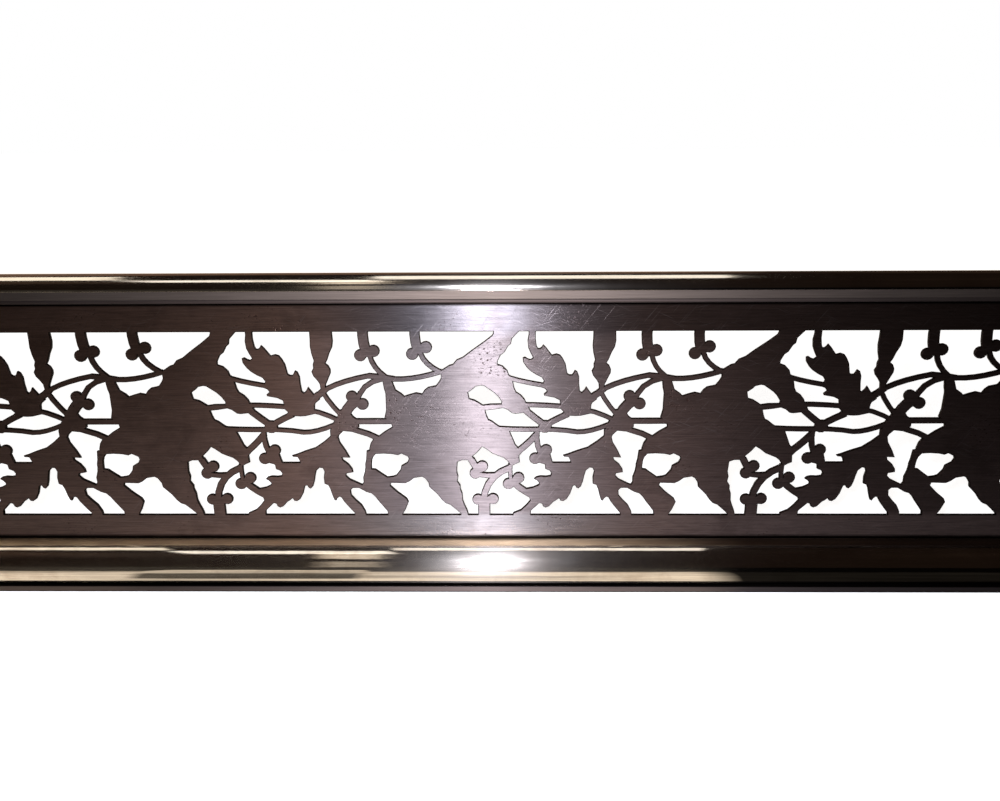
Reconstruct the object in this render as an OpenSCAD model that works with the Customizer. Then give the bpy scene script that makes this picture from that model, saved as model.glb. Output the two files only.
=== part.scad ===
// Fire fender: a three-sided hearth fender of pierced sheet steel.
// A foliage frieze stands between a hollow rolled top rail and a bold hollow
// base moulding, on a sheet-iron floor plate. Front and two returns, mitred.
// Millimetres, +Z up, the front faces -Y, the origin is on the floor at the middle.

/* [Overall] */
// Repeats of the foliage pattern along the front
front_repeats = 8; // [3:1:12]
// Repeats of the foliage pattern along each return
return_repeats = 2; // [1:1:4]
// Length of one repeat
pitch = 152; // [125:1:190]
// Height of the pierced window
window_h = 107; // [85:1:135]
// Plain sheet beside each end of a window
end_margin = 17; // [16:0.5:40]

/* [Pierced panel] */
// Thickness of the pierced sheet
sheet_t = 2; // [1.2:0.1:3]
// Plain sheet between the base moulding and the window
border_low = 15; // [6:0.5:30]
// Plain sheet between the window and the top rail
border_high = 16; // [6:0.5:30]
// How far the sheet reaches up into the roll of the rail
sheet_in_roll = 1; // [0:0.5:3]
// Width of a stem in the foliage
stem_w = 2.9; // [2:0.1:4]
// Radius of one berry
berry_r = 3.4; // [2.6:0.1:4]
// Narrowest slit that the fret saw can cut
saw_cut = 0.6; // [0.3:0.1:1]

/* [Top rail] */
// Wall of the rolled rail
rail_t = 1.2; // [0.8:0.1:1.6]
// Radius of the half-round roll
roll_r = 8; // [6.5:0.25:11]
// Upright part of the roll under its half round
roll_foot = 0.5; // [0.2:0.1:2]
// Height of the flat band under the roll
fascia_h = 4.8; // [4:0.1:9]
// How far the flat band stands out from the sheet
fascia_out = 5; // [4:0.1:6]
// Height of the small round lip under the band
lip_h = 2.2; // [1.6:0.1:3]
// How far the lip sits behind the band
lip_back = 0.8; // [0.3:0.1:1.2]

/* [Base moulding] */
// Wall of the rolled base moulding
base_t = 1.2; // [1:0.1:1.6]
// Radius of the large bead
bead_r = 14.5; // [12:0.25:18]
// Distance of the bead's centre in front of the sheet
bead_out = 0.5; // [0:0.25:3]
// Height of the bead's centre over the plinth
bead_rise = 8.1; // [6:0.1:11]
// Sunk neck between the plinth and the bead
neck_h = 1; // [0.6:0.1:2]
// How far the neck stands behind the plinth's face
neck_in = 3; // [2.5:0.1:5]
// Width of the edge turned under the floor plate
turn_under = 6; // [3:0.5:8]

/* [Floor plate and angles] */
// Thickness of the sheet-iron floor plate
plate_t = 1.5; // [1.2:0.1:3]
// Width of the floor plate behind the pierced sheet
plate_in = 55; // [45:1:120]
// Thickness of the angles and joint plates
angle_t = 1.5; // [1:0.1:2]
// Height of the base angle's upright leg
angle_up = 22; // [16:0.5:28]
// Width of the base angle's foot
angle_foot = 15; // [12:0.5:20]
// Width of each leg of the upright corner angle
corner_leg = 13; // [9:0.5:15]
// Bare edge of the floor plate left beside each joint plate
joint_edge = 3; // [1:0.5:8]
// Reach of the end stile over the panel's end
stile_reach = 11; // [8:0.5:15]

/* [Rivets and screws] */
// Diameter of a rivet's shank
rivet_d = 3; // [2:0.1:4]
// Diameter of a rivet's head
rivet_head_d = 6; // [4.5:0.1:7]
// Height of a rivet's head
rivet_head_h = 1.8; // [1:0.1:2.5]
// Diameter of a floor screw
screw_d = 4; // [3:0.5:5]
// Diameter of the countersunk screw head
screw_head_d = 7; // [6:0.1:9]
// Size of the nut across its corners
nut_d = 8; // [6.5:0.1:10]
// Height of the nut
nut_h = 3; // [2:0.1:4]
// Length of screw thread showing over the nut
screw_over = 1.5; // [0.5:0.1:3]

/* [Hidden] */
// Running clearance round a shank, over the diameter
shank_gap = 0.1;
// End clearance of a piece dropped between two others
drop_gap = 0.3;
// Overrun of a cutting body
cut = 1;
// Straight bore left in the floor plate over a countersink
sink_land = 0.3;
// Number of sides on a small round stretch of foliage
leaf_fn = 13;

// Heights, from the floor
plate_z = base_t;
plate_top = plate_z + plate_t;
plinth_h = plate_top + base_t;
plinth_out = bead_out + bead_r;
bead_z = plinth_h + bead_rise;
ledge_z = bead_z + bead_r;
window_z = ledge_z + border_low;
rail_z = window_z + window_h + border_high;
fascia_z = rail_z + lip_h;
roll_z = fascia_z + fascia_h;
roll_centre_z = roll_z + roll_foot;
total_h = roll_centre_z + roll_r;
sheet_top = roll_centre_z + sheet_in_roll;

// Plan: the outer faces of the three panels, with the box centred in Y
half_len = front_repeats * pitch / 2 + end_margin;
return_len = return_repeats * pitch + 2 * end_margin;
cap_t = base_t;
depth = return_len + plinth_out + cap_t;
front_y = plinth_out - depth / 2;
back_y = front_y + return_len;
side_y = (front_y + back_y) / 2;

// Places of the fastenings
rail_rivet_z = (rail_z + roll_z) / 2;
base_rivet_z = plate_top + angle_up * 0.65;
foot_mid = sheet_t + angle_foot * 0.6;
inner_reach = sheet_t + angle_foot;
joint_from = inner_reach + cut;
joint_side = plate_in - joint_from - joint_edge;
corner_rivet_s = sheet_t + angle_t + (corner_leg - angle_t) / 2;
corner_z0 = plate_top + angle_up + drop_gap;
corner_z1 = rail_z - drop_gap;
stile_rivet_s = stile_reach / 2;

// ---- One repeat of the foliage, drawn in a window of this size ----------------
motif_w = 152;
motif_h = 107;
// The window's left end falls this far before a repeat's origin, inside a broad leaf
motif_lead = 22;

// A point on the curve from a to c that is pulled towards b, moved sideways by "off"
function on_bend(a, b, c, t, off) =
    let (along = (1 - t) * (b - a) + t * (c - b))
    (1 - t) * (1 - t) * a + 2 * t * (1 - t) * b + t * t * c
        + off * [-along[1], along[0]] / norm(along);

// A strip of even width along such a curve
module stem(a, b, c, w = stem_w, n = 3)
    polygon(concat(
        [for (i = [0 : n]) on_bend(a, b, c, i / n, w / 2)],
        [for (i = [0 : n]) on_bend(a, b, c, 1 - i / n, -w / 2)]
    ));

// Two berries side by side, joined by a short waist
module berries(left, right) {
    for (centre = [left, right])
        translate(centre) circle(r = berry_r, $fn = leaf_fn);
    stem(left, (left + right) / 2, right, berry_r * 1.2, 1);
}

// The broad leaf that runs from one repeat into the next
module broad_leaf() {
    lobe_top = [
        [0, 110], [0, 106.5], [-0.6, 105], [-5, 101.5], [-12, 96.5], [-16.5, 93],
        [-20, 91.5], [-22, 89], [-24, 88.5], [-27, 86.5], [-29, 85.5],
        [-28.6, 81.5], [-29.6, 79.5], [-31.5, 77], [-36, 76], [-38, 74.3],
        [-39.3, 72.3], [-42.5, 73], [-46, 72], [-49, 71], [-50.5, 72.5],
        [-53.5, 74.5], [-55, 78.8]
    ];
    heart = [
        [-60.5, 79], [-60, 75], [-59.3, 73], [-59.4, 63], [-60.5, 58.5],
        [-57, 55.5], [-56.5, 53], [-61, 50.3], [-64, 48], [-67.4, 46],
        [-69, 43.5], [-70, 40], [-67, 37], [-62, 37.3], [-57, 37],
        [-54, 36.3], [-52, 37.2], [-48.5, 35.5], [-48, 34], [-49, 32],
        [-52.4, 30], [-53, 27.5], [-55.5, 24.3], [-58, 23.4]
    ];
    lobe_low = [
        [-58, 19.5], [-50.5, 19.3], [-48, 20.5], [-45.5, 22.5], [-41, 23.3],
        [-39.2, 22.3], [-37.4, 19.5], [-37, 17], [-35, 15], [-32.5, 12.5],
        [-30, 9], [-28, 7], [-25.4, 6], [-22, 3], [-19.5, 0.5], [-19.5, -4],
        [-14.8, -4], [-15, 0.5], [-15.7, 3], [-17, 6], [-18, 9], [-18.2, 13],
        [-19.2, 16], [-19.2, 18], [-20.8, 20.5], [-20.3, 23.5], [-21, 26.5],
        [-20.6, 32.3], [-18, 33.3], [-15, 33.3], [-13, 32.5], [-11, 33.5]
    ];
    lobe_right = [
        [-12, 35.7], [-9, 38.5], [-6.7, 41.3], [-4.5, 40], [-1, 37.3],
        [2, 36], [5, 34.8], [7.2, 33], [9.5, 29.5], [12, 31], [14.3, 32],
        [14, 36], [16.5, 39], [13.3, 41], [12, 42.5], [10.8, 45.5], [8.8, 50.3],
        [8, 52.5], [3, 53.5], [1.5, 54.5], [-1, 56.5], [-3, 57.5], [-4, 60],
        [-4.7, 62.7], [0, 63.2], [5, 64], [7.5, 63], [10, 61], [12, 60.7],
        [16, 61.2], [20, 63]
    ];
    lobe_tip = [
        [19, 65], [17.8, 67], [17, 69], [15, 71.5], [12.3, 73.3], [11.3, 75.5],
        [10.5, 79.5], [9.5, 82.2], [8.3, 83], [7.6, 85.3], [5, 88], [2.2, 89],
        [2.3, 90.7], [4, 94], [6, 95.5], [8, 99], [9.5, 100.2], [10, 103],
        [13.8, 107], [14, 110]
    ];
    // The eye between two lobes
    eye = [
        [-14, 73], [-11.2, 75], [-10, 76.3], [-7, 77], [-5.3, 76.7], [0, 73],
        [2.3, 70.7], [4.2, 67.8], [4, 66.5], [-2, 66.4], [-6, 65.8],
        [-8.5, 67.5], [-10.5, 68.7], [-13.3, 69.5]
    ];
    difference() {
        polygon(concat(lobe_top, heart, lobe_low, lobe_right, lobe_tip));
        polygon(eye);
    }
}

// The toothed leaf that reaches up to the border
module upper_leaf() {
    polygon([
        [18.7, 110], [18.9, 105.5], [18.3, 102], [18.7, 98], [20, 95],
        [21.3, 92.5], [20, 91.5], [18.5, 92], [17, 93], [15.7, 92.5], [16, 90],
        [18, 87], [20, 85], [23, 83], [26, 81.5], [27.3, 79.5], [26.5, 77.5],
        [26, 75.8], [28, 75], [29, 73.5], [27.3, 72], [27.6, 71], [33, 70],
        [36, 68.5], [36.3, 66.5], [36.5, 63.6], [38.3, 61.7], [37, 60.5],
        [41, 59.5], [45, 59.3], [48, 59.5], [53, 60.7], [53.5, 66], [54, 67],
        [56.5, 69], [55, 73.5], [53.3, 72.3], [52, 74], [50.4, 76.3],
        [49.5, 74.5], [48, 73], [47, 73.8], [46.5, 78], [46.4, 82],
        [45.4, 84.7], [44, 85.6], [43.2, 84], [42.5, 83], [41, 83], [40, 83.7],
        [39, 89], [37.5, 92], [36, 94], [34, 94.7], [31.5, 94], [30, 96],
        [28.5, 98], [26.8, 99.8], [26, 98.5], [25, 97.7], [24, 97.7],
        [23.3, 99], [22.7, 103], [22.8, 110]
    ]);
}

// The broad bud that hangs from the border
module hanging_bud() {
    polygon([
        [53.4, 110], [53.4, 103], [53.2, 99], [53.7, 95], [54.7, 91], [54, 89],
        [54.1, 87], [53, 85], [53.8, 82.5], [55.8, 80], [57, 78], [57.3, 75],
        [60, 74], [60.4, 77.5], [62, 81], [63.4, 84], [63.5, 86],
        [62.5, 88.3], [61, 89.5], [62.1, 91.5], [63.4, 95], [65.2, 98.5],
        [65.8, 102], [65.4, 110]
    ]);
}

// The toothed leaf that lies along the lower border
module lower_leaf() {
    polygon([
        [62, 50], [60.7, 47.7], [57, 44.5], [52, 41], [46, 39], [41, 37],
        [38.4, 36.2], [39, 35.4], [41.5, 35.2], [42.3, 33.5], [42.7, 32.2],
        [40, 32.1], [33, 32.1], [30.5, 33], [28.3, 30.5], [28.6, 28],
        [31, 27], [32, 25.5], [31.5, 24], [29, 23.6], [26, 23.8],
        [23.5, 23.2], [22.3, 22], [24, 21], [25.2, 19.5], [25, 18.5],
        [22, 17], [18.3, 16.2], [19.6, 11], [20.2, 8.8], [18, 6], [15, 3],
        [10.5, 1], [10, -4], [20.4, -4], [20.8, 2.3], [25.5, 7], [27, 6.6],
        [27.6, 5], [29, 4.2], [31, 5], [33.5, 7.8], [35, 8.7], [36.6, 10],
        [37.5, 8.5], [39, 8.2], [41, 9.5], [43, 13], [44.4, 17.6], [45.5, 18],
        [46.5, 16.4], [47.5, 16], [49, 17.5], [50, 20.5], [50.7, 24],
        [51.5, 27], [53.5, 28.8], [55.2, 28.5], [56, 26.5], [55.3, 23],
        [55.5, 19], [57.5, 18.2], [58.5, 16], [59.5, 12], [60.5, 9],
        [61.5, 8.5], [62.3, 10], [63.5, 11], [64.6, 10.5], [66, 8], [69, 4],
        [71.5, 1], [72, -4], [79, -4], [78, 2], [76, 6], [73, 9], [70.5, 12],
        [70.2, 15], [71.5, 16.4], [75, 16.4], [78, 17], [77, 18.6],
        [75, 19.5], [70, 22], [68.2, 24], [68.5, 25.3], [72.3, 26],
        [72, 28], [70, 31], [67, 33.5], [66.7, 35], [71, 34.8], [69, 39],
        [66, 44], [65.3, 47], [66.5, 50]
    ]);
}

// The narrow leaf that slants down to the lower border
module slant_leaf() {
    polygon([
        [80.5, 39], [80, 34], [79.3, 31], [79.3, 28], [77.7, 23], [77.8, 20],
        [76.5, 18], [75, 16.4], [79, 14], [82, 13], [84, 11], [86, 8],
        [88.3, 5], [90.5, 2], [91, -4], [99.2, -4], [99.5, 0.5], [101, 3],
        [103, 7.8], [102, 10], [97, 14], [93, 18], [93.5, 19.5], [96, 23.8],
        [91.5, 23.2], [88, 25.7], [85, 28], [83, 28.2], [83, 30.5],
        [83.5, 34.5], [85.5, 37], [84, 40]
    ]);
}

// The heart of the plant, where the stems meet
module crown() {
    polygon([
        [60.8, 51.2], [62, 53.5], [63, 56], [65.5, 59.5], [66.5, 63], [69, 63.5],
        [72.5, 62], [74.2, 59.3], [77.2, 57], [77.2, 53], [74, 51], [68.5, 51],
        [66, 48.5], [62, 46], [60.8, 48]
    ]);
}

module stems() {
    // Ribs of the broad leaf that cross to the upper leaf
    stem([9, 81], [15, 79], [28, 76.8], 2.7);
    stem([16, 65.8], [25, 65.9], [38, 64.8], 2.8);
    stem([16, 64], [19, 61], [28, 54], 3.8);
    translate([28.2, 53.2]) circle(r = 3.8, $fn = 10);
    stem([28, 53.5], [33, 57], [41, 60.5], 3.6);
    stem([3, 52], [12, 51.4], [26, 51.5]);
    stem([13, 38.3], [18, 42], [24, 49], 3.8);
    // The long low stem into the crown
    stem([24, 51.6], [38, 51.5], [46, 49.9], 2.7);
    stem([46, 49.9], [53, 49.6], [64, 54.5], 2.7, 4);
    // Roots of the upper leaf and of the hanging bud
    stem([51, 62.6], [57, 61.8], [68, 56], 2.6);
    stem([50, 67.5], [55, 70.5], [60, 75], 3.8);
    stem([58.5, 73], [61, 67.5], [68, 59.5], 2.6);
    // The arched fruiting stem
    stem([58, 73.5], [66, 79], [84, 82.5], n = 5);
    stem([84, 82.5], [92, 81.8], [98, 80.6], 3.2);
    stem([98, 80.6], [109, 80], [124, 85], n = 5);
    stem([78.5, 72], [81.8, 79], [92, 81], 3);
    stem([94, 80], [94.5, 74], [96, 70], 5);
    // Stalks from the crown into the broad leaf
    stem([68, 56.4], [82, 56.3], [97, 56.4], 3.4);
    stem([66, 52.5], [76, 53], [92, 44], 3.2);
    stem([86, 43], [82, 38], [80.5, 27], 3.2);
}

module fruit() {
    // Two pairs on stalks from the upper border
    stem([82.1, 110], [81.6, 102], [83.1, 97], 5.8);
    berries([80.1, 94], [87.4, 96.4]);
    stem([85.2, 94], [86.4, 87], [93, 82], 2.8, 4);
    stem([110, 110], [109.4, 103], [111.2, 97], 5.6);
    berries([108.2, 94.7], [115.7, 98.4]);
    stem([112.7, 95], [114.4, 89], [123, 84.5], n = 4);
    // The pair beside the crown
    stem([69.5, 60], [71.5, 65], [76, 68], 6);
    berries([74.2, 70.7], [79.8, 66.4]);
    stem([77, 69], [78, 71], [79, 73], 3);
    // The pair over the lower leaf
    stem([23.8, 52], [22.8, 44], [26, 37], 3.2);
    berries([22.9, 34.3], [29, 39.3]);
    stem([28.6, 39], [29.5, 35], [31, 30], 4.6);
    stem([23, 34.3], [27, 34], [31, 32], 4.6);
    // Three pairs at the foot of the broad leaf
    stem([-13, 34], [-11, 30], [-8.5, 26], 4);
    berries([-10.7, 25.4], [-6.8, 29.6]);
    stem([8.5, 28.6], [-5.2, 23.5], [-6.4, 8], 4, 5);
    stem([-11, 25.5], [-6, 23.6], [0, 24.3], 3.2);
    berries([8, 19], [13.6, 22.6]);
    stem([9, 31], [8.6, 26], [9.5, 20], 2.6);
    stem([11, 19.5], [15, 15.5], [21, 12], 4);
    berries([-9.4, 9.3], [-0.9, 9.7]);
    stem([-6, 9], [-6, 4], [-6, -4], 7);
}

module foliage() {
    broad_leaf();
    upper_leaf();
    hanging_bud();
    lower_leaf();
    slant_leaf();
    crown();
    stems();
    fruit();
}

// One repeat's share of the window: its edge runs through the solid of the broad leaf
share_edge = [
    [-17.2, -5], [-17.2, 0], [-22, 12], [-30, 30], [-30, 68],
    [-16, 84], [4, 101], [8, 107], [8, 112]
];

module repeat_share()
    polygon(concat(
        share_edge,
        [for (i = [len(share_edge) - 1 : -1 : 0]) share_edge[i] + [motif_w, 0]]
    ));

// The openings of repeat number i, in a window "repeats" long with its corner at the origin
module fret_openings(i, repeats)
    offset(delta = saw_cut / 2) offset(delta = -saw_cut / 2)
        intersection() {
            square([repeats * pitch, window_h]);
            translate([(i + motif_lead / motif_w) * pitch, 0])
                scale([pitch / motif_w, window_h / motif_h])
                    difference() {
                        repeat_share();
                        for (near = [-1 : 1]) translate([near * motif_w, 0]) foliage();
                    }
        }

// A sheet's outline with its fretwork; children are further holes, from the window's left end
module pierced_sheet(repeats, left_reach, right_reach)
    difference() {
        translate([-left_reach, plate_top])
            square([left_reach + repeats * pitch + right_reach, sheet_top - plate_top]);
        for (i = [-1 : repeats - 1])
            translate([0, window_z]) fret_openings(i, repeats);
        children();
    }

// ---- Placing and bending ---------------------------------------------------
// Each side is drawn as the front is: along X, outwards to -Y, the sheet's outer face at Y 0
module on_front() translate([0, front_y, 0]) children();
module on_left() translate([-half_len, side_y, 0]) rotate([0, 0, -90]) children();
module on_right() translate([half_len, side_y, 0]) rotate([0, 0, 90]) children();

// A section drawn as (distance outwards, height), run along a side
module run(length)
    rotate([90, 0, -90]) linear_extrude(length, center = true) children();

// Plan of the front's share of the corners, cut at 45 degrees
mitre_out = plinth_out + cut;
mitre_in = plate_in + cut;
module front_share()
    translate([0, front_y, -cut]) linear_extrude(total_h + 2 * cut)
        polygon([
            [-half_len - mitre_out, -mitre_out], [half_len + mitre_out, -mitre_out],
            [half_len - mitre_in, mitre_in], [mitre_in - half_len, mitre_in]
        ]);

module right_share()
    translate([half_len, front_y, -cut]) linear_extrude(total_h + 2 * cut)
        polygon([
            [mitre_out, -mitre_out], [mitre_out, return_len],
            [-mitre_in, return_len], [-mitre_in, mitre_in]
        ]);

module mitred_front()
    intersection() {
        front_share();
        on_front() run(2 * (half_len + mitre_out)) children();
    }

module mitred_right()
    intersection() {
        right_share();
        on_right() run(2 * (return_len + mitre_out)) children();
    }

module mitred_left() mirror([1, 0, 0]) mitred_right() children();

// ---- Places of the fastenings along a side ---------------------------------
front_marks = [for (i = [0 : front_repeats]) (i - front_repeats / 2) * pitch];
return_marks = [for (i = [0 : return_repeats]) (i - return_repeats / 2) * pitch];
front_mids = [for (i = [1 : front_repeats]) (i - (front_repeats + 1) / 2) * pitch];
return_mids = [for (i = [1 : return_repeats]) (i - (return_repeats + 1) / 2) * pitch];
corner_heights = [for (f = [0.12, 0.5, 0.88]) corner_z0 + f * (corner_z1 - corner_z0)];
stile_heights = [for (f = [0.2, 0.8]) ledge_z + f * (rail_z - ledge_z)];

// A round hole or shank square to a side, from "inner" to "outer" behind or before its face
module pin_across(d, inner, outer)
    translate([0, -inner, 0]) rotate([90, 0, 0]) cylinder(h = outer - inner, d = d);

// Domed head on the hidden side, seated at depth "back" behind the sheet's face
module dome(back)
    translate([0, back, 0]) rotate([-90, 0, 0])
        rotate_extrude() intersection() {
            dome_r = (rivet_head_d * rivet_head_d / 4 + rivet_head_h * rivet_head_h)
                / (2 * rivet_head_h);
            translate([0, rivet_head_h - dome_r]) circle(r = dome_r);
            square([rivet_head_d / 2, rivet_head_h]);
        }

// Rivet through the sheet and a flange behind it; the outer end is a thin flat head or flush
module rivet(flange_t, flat_head = true) {
    back = sheet_t + flange_t;
    pin_across(rivet_d, -back, 0);
    dome(back);
    if (flat_head) pin_across(rivet_head_d, 0, rivet_head_h / 2);
}

// ---- Pierced panels ------------------------------------------------------------
// Holes are placed along the panel from its window's middle
module panel(repeats, left_reach, right_reach, marks) {
    half_window = repeats * pitch / 2;
    rotate([90, 0, 0]) translate([-half_window, 0, -sheet_t]) linear_extrude(sheet_t)
        pierced_sheet(repeats, left_reach, right_reach)
            translate([half_window, 0]) {
                hole_row(marks, [rail_rivet_z, base_rivet_z]);
                children();
            }
}

module hole_row(places, heights)
    for (s = places, z = heights)
        translate([s, z]) circle(d = rivet_d + shank_gap);

module front_panel()
    color("silver") on_front()
        panel(front_repeats, end_margin, end_margin, front_marks)
            hole_row([-1, 1] * (half_len - corner_rivet_s), corner_heights);

// The returns butt against the back of the front sheet
module right_panel()
    color("silver") on_right()
        panel(return_repeats, end_margin - sheet_t, end_margin, return_marks) {
            hole_row([corner_rivet_s - return_len / 2], corner_heights);
            hole_row([return_len / 2 - stile_rivet_s], stile_heights);
        }

module left_panel()
    color("silver") on_left()
        panel(return_repeats, end_margin, end_margin - sheet_t, return_marks) {
            hole_row([return_len / 2 - corner_rivet_s], corner_heights);
            hole_row([stile_rivet_s - return_len / 2], stile_heights);
        }

// ---- Top rail --------------------------------------------------------------------
// Outer outline of the rolled rail
module rail_outline() {
    flange_in = sheet_t + rail_t;
    intersection() {
        translate([-sheet_t / 2, roll_centre_z]) circle(r = roll_r);
        translate([-roll_r - sheet_t, roll_centre_z]) square([2 * roll_r + sheet_t, roll_r]);
    }
    translate([-sheet_t / 2 - roll_r, roll_z]) square([2 * roll_r, roll_foot]);
    translate([-flange_in, rail_z]) square([flange_in + fascia_out - lip_back - lip_h / 2, lip_h]);
    translate([fascia_out - lip_back - lip_h / 2, rail_z + lip_h / 2]) circle(d = lip_h);
    translate([-flange_in, fascia_z]) square([flange_in + fascia_out, fascia_h]);
}

// Hollow inside it: the half tube, and the channel that takes the sheet
module rail_hollow() {
    bore_r = roll_r - rail_t;
    floor_z = roll_z + rail_t;
    intersection() {
        translate([-sheet_t / 2, roll_centre_z]) circle(r = bore_r);
        translate([-roll_r - sheet_t, floor_z]) square([2 * roll_r + sheet_t, roll_r]);
    }
    translate([-sheet_t, rail_z - cut])
        square([sheet_t + fascia_out - lip_back - rail_t, lip_h + rail_t + cut]);
    translate([-sheet_t, fascia_z + rail_t])
        square([sheet_t + fascia_out - rail_t, fascia_h + cut]);
}

module rail_section()
    difference() {
        rail_outline();
        rail_hollow();
    }

module front_top_rail()
    color("gainsboro") difference() {
        mitred_front() rail_section();
        on_front() for (s = front_marks) flange_bore(s, rail_rivet_z, rail_t);
    }

module right_top_rail()
    color("gainsboro") difference() {
        mitred_right() rail_section();
        on_right() for (s = return_marks) flange_bore(s, rail_rivet_z, rail_t);
    }

module left_top_rail() mirror([1, 0, 0]) right_top_rail();

// Bore in the flange behind the sheet only
module flange_bore(s, z, flange_t)
    translate([s, 0, z])
        pin_across(rivet_d + shank_gap, -sheet_t - flange_t - cut, -sheet_t + cut);

// ---- Base moulding --------------------------------------------------------------
// Plinth, neck and large bead; "skin" is the wall taken off to draw the hollow
module base_outline(skin = 0) {
    back = skin > 0 ? -cut : 0;
    module step_to(reach, z0, z1)
        translate([back, z0]) square([reach - back, z1 - z0]);
    step_to(plinth_out - skin, skin, plinth_h - skin);
    step_to(plinth_out - neck_in - skin, skin, bead_z);
    intersection() {
        translate([bead_out, bead_z]) circle(r = bead_r - skin);
        translate([0, plinth_h + neck_h + skin]) square([plinth_out, 2 * bead_r]);
    }
    step_to(bead_out, bead_z, ledge_z - skin);
}

// The rolled sheet: open at the back and, short of the turned edge, underneath
module base_section()
    difference() {
        intersection() {
            base_outline();
            square([plinth_out, ledge_z]);
        }
        base_outline(base_t);
        translate([-cut, -cut])
            square([plinth_out - turn_under + cut, base_t + 2 * cut]);
    }

module front_base_moulding() color("lightgray") mitred_front() base_section();
module right_base_moulding() color("lightgray") mitred_right() base_section();
module left_base_moulding() mirror([1, 0, 0]) right_base_moulding();

// Angle that ties the sheet to the floor plate, in the hearth side
module angle_section() {
    translate([-sheet_t - angle_t, plate_top]) square([angle_t, angle_up]);
    translate([-inner_reach, plate_top]) square([angle_foot, angle_t]);
}

module screw_hole(s, d)
    translate([s, foot_mid, 0]) cylinder(h = ledge_z, d = d);

module front_base_angle()
    color("dimgray") difference() {
        mitred_front() angle_section();
        on_front() {
            for (s = front_marks) flange_bore(s, base_rivet_z, angle_t);
            for (s = front_mids) screw_hole(s, screw_d + shank_gap);
        }
    }

module right_base_angle()
    color("dimgray") difference() {
        mitred_right() angle_section();
        on_right() {
            for (s = return_marks) flange_bore(s, base_rivet_z, angle_t);
            for (s = return_mids) screw_hole(s, screw_d + shank_gap);
        }
    }

module left_base_angle() mirror([1, 0, 0]) right_base_angle();

// ---- Floor plate -------------------------------------------------------------------
plate_edge = plinth_out - base_t - drop_gap;

module plate_section()
    translate([-plate_in, plate_z]) square([plate_in + plate_edge, plate_t]);

// Countersunk hole from below, and the head that fills it
sink_h = plate_t - sink_land;

module screw_sink(s, grow)
    translate([s, foot_mid, plate_z])
        cylinder(h = sink_h, d1 = screw_head_d + grow, d2 = screw_d + grow);

// Places of the joint plate's rivets from its outer corner, as shares of its side
joint_spots = [[0.2, 0.55], [0.5, 0.82], [0.55, 0.2], [0.82, 0.5]];

module joint_places()
    for (spot = joint_spots)
        translate([
            half_len - joint_from - spot[0] * joint_side,
            front_y + joint_from + spot[1] * joint_side, 0
        ]) children();

module joint_bores()
    joint_places() cylinder(h = ledge_z, d = rivet_d + shank_gap);

module front_floor_plate()
    color("#2b2b2d") difference() {
        mitred_front() plate_section();
        on_front() for (s = front_mids) {
            screw_hole(s, screw_d + shank_gap);
            screw_sink(s, shank_gap);
        }
        joint_bores();
        mirror([1, 0, 0]) joint_bores();
    }

module right_floor_plate()
    color("#2b2b2d") difference() {
        mitred_right() plate_section();
        on_right() for (s = return_mids) {
            screw_hole(s, screw_d + shank_gap);
            screw_sink(s, shank_gap);
        }
        joint_bores();
    }

module left_floor_plate() mirror([1, 0, 0]) right_floor_plate();

module right_joint_plate()
    color("#39393c") difference() {
        translate([half_len - joint_from - joint_side, front_y + joint_from, plate_top])
            cube([joint_side, joint_side, angle_t]);
        joint_bores();
    }

module left_joint_plate() mirror([1, 0, 0]) right_joint_plate();

// ---- Corners and wall ends ---------------------------------------------------------
module right_corner_angle()
    color("dimgray") difference() {
        translate([half_len - sheet_t, front_y + sheet_t, corner_z0])
            linear_extrude(corner_z1 - corner_z0) {
                translate([-corner_leg, 0]) square([corner_leg, angle_t]);
                translate([-angle_t, 0]) square([angle_t, corner_leg]);
            }
        on_front() for (z = corner_heights)
            flange_bore(half_len - corner_rivet_s, z, angle_t);
        on_right() for (z = corner_heights)
            flange_bore(corner_rivet_s - return_len / 2, z, angle_t);
    }

module left_corner_angle() mirror([1, 0, 0]) right_corner_angle();

// Folded channel over the end of the pierced sheet
module right_end_stile()
    color("lightgray") on_right() difference() {
        translate([return_len / 2, 0, ledge_z])
            linear_extrude(rail_z - ledge_z) difference() {
                translate([-stile_reach, -cap_t])
                    square([stile_reach + cap_t, sheet_t + 2 * cap_t]);
                translate([-stile_reach - cut, 0]) square([stile_reach + cut, sheet_t]);
            }
        for (z = stile_heights)
            translate([return_len / 2 - stile_rivet_s, 0, z])
                pin_across(rivet_d + shank_gap, -sheet_t - 2 * cap_t, 2 * cap_t);
    }

module left_end_stile() mirror([1, 0, 0]) right_end_stile();

module end_cap()
    on_right() translate([return_len / 2 + cap_t / 2, 0, 0]) run(cap_t) children();

module right_rail_cap()
    color("lightgray") end_cap() {
        rail_outline();
        translate([-sheet_t - rail_t, roll_z])
            square([sheet_t + rail_t + fascia_out, roll_foot]);
    }

module right_base_cap()
    color("lightgray") end_cap() {
        intersection() {
            base_outline();
            square([plinth_out, ledge_z]);
        }
        translate([-sheet_t - angle_t, 0]) square([sheet_t + angle_t, ledge_z]);
    }

module left_rail_cap() mirror([1, 0, 0]) right_rail_cap();
module left_base_cap() mirror([1, 0, 0]) right_base_cap();

// ---- Rivets, screws and nuts ---------------------------------------------------------
module on_three_sides(front_list, return_list) {
    on_front() for (s = front_list) translate([s, 0, 0]) children();
    on_right() for (s = return_list) translate([s, 0, 0]) children();
    on_left() for (s = return_list) translate([s, 0, 0]) children();
}

module rail_rivets()
    color("gray") on_three_sides(front_marks, return_marks)
        translate([0, 0, rail_rivet_z]) rivet(rail_t);

module base_rivets()
    color("gray") on_three_sides(front_marks, return_marks)
        translate([0, 0, base_rivet_z]) rivet(angle_t);

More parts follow.
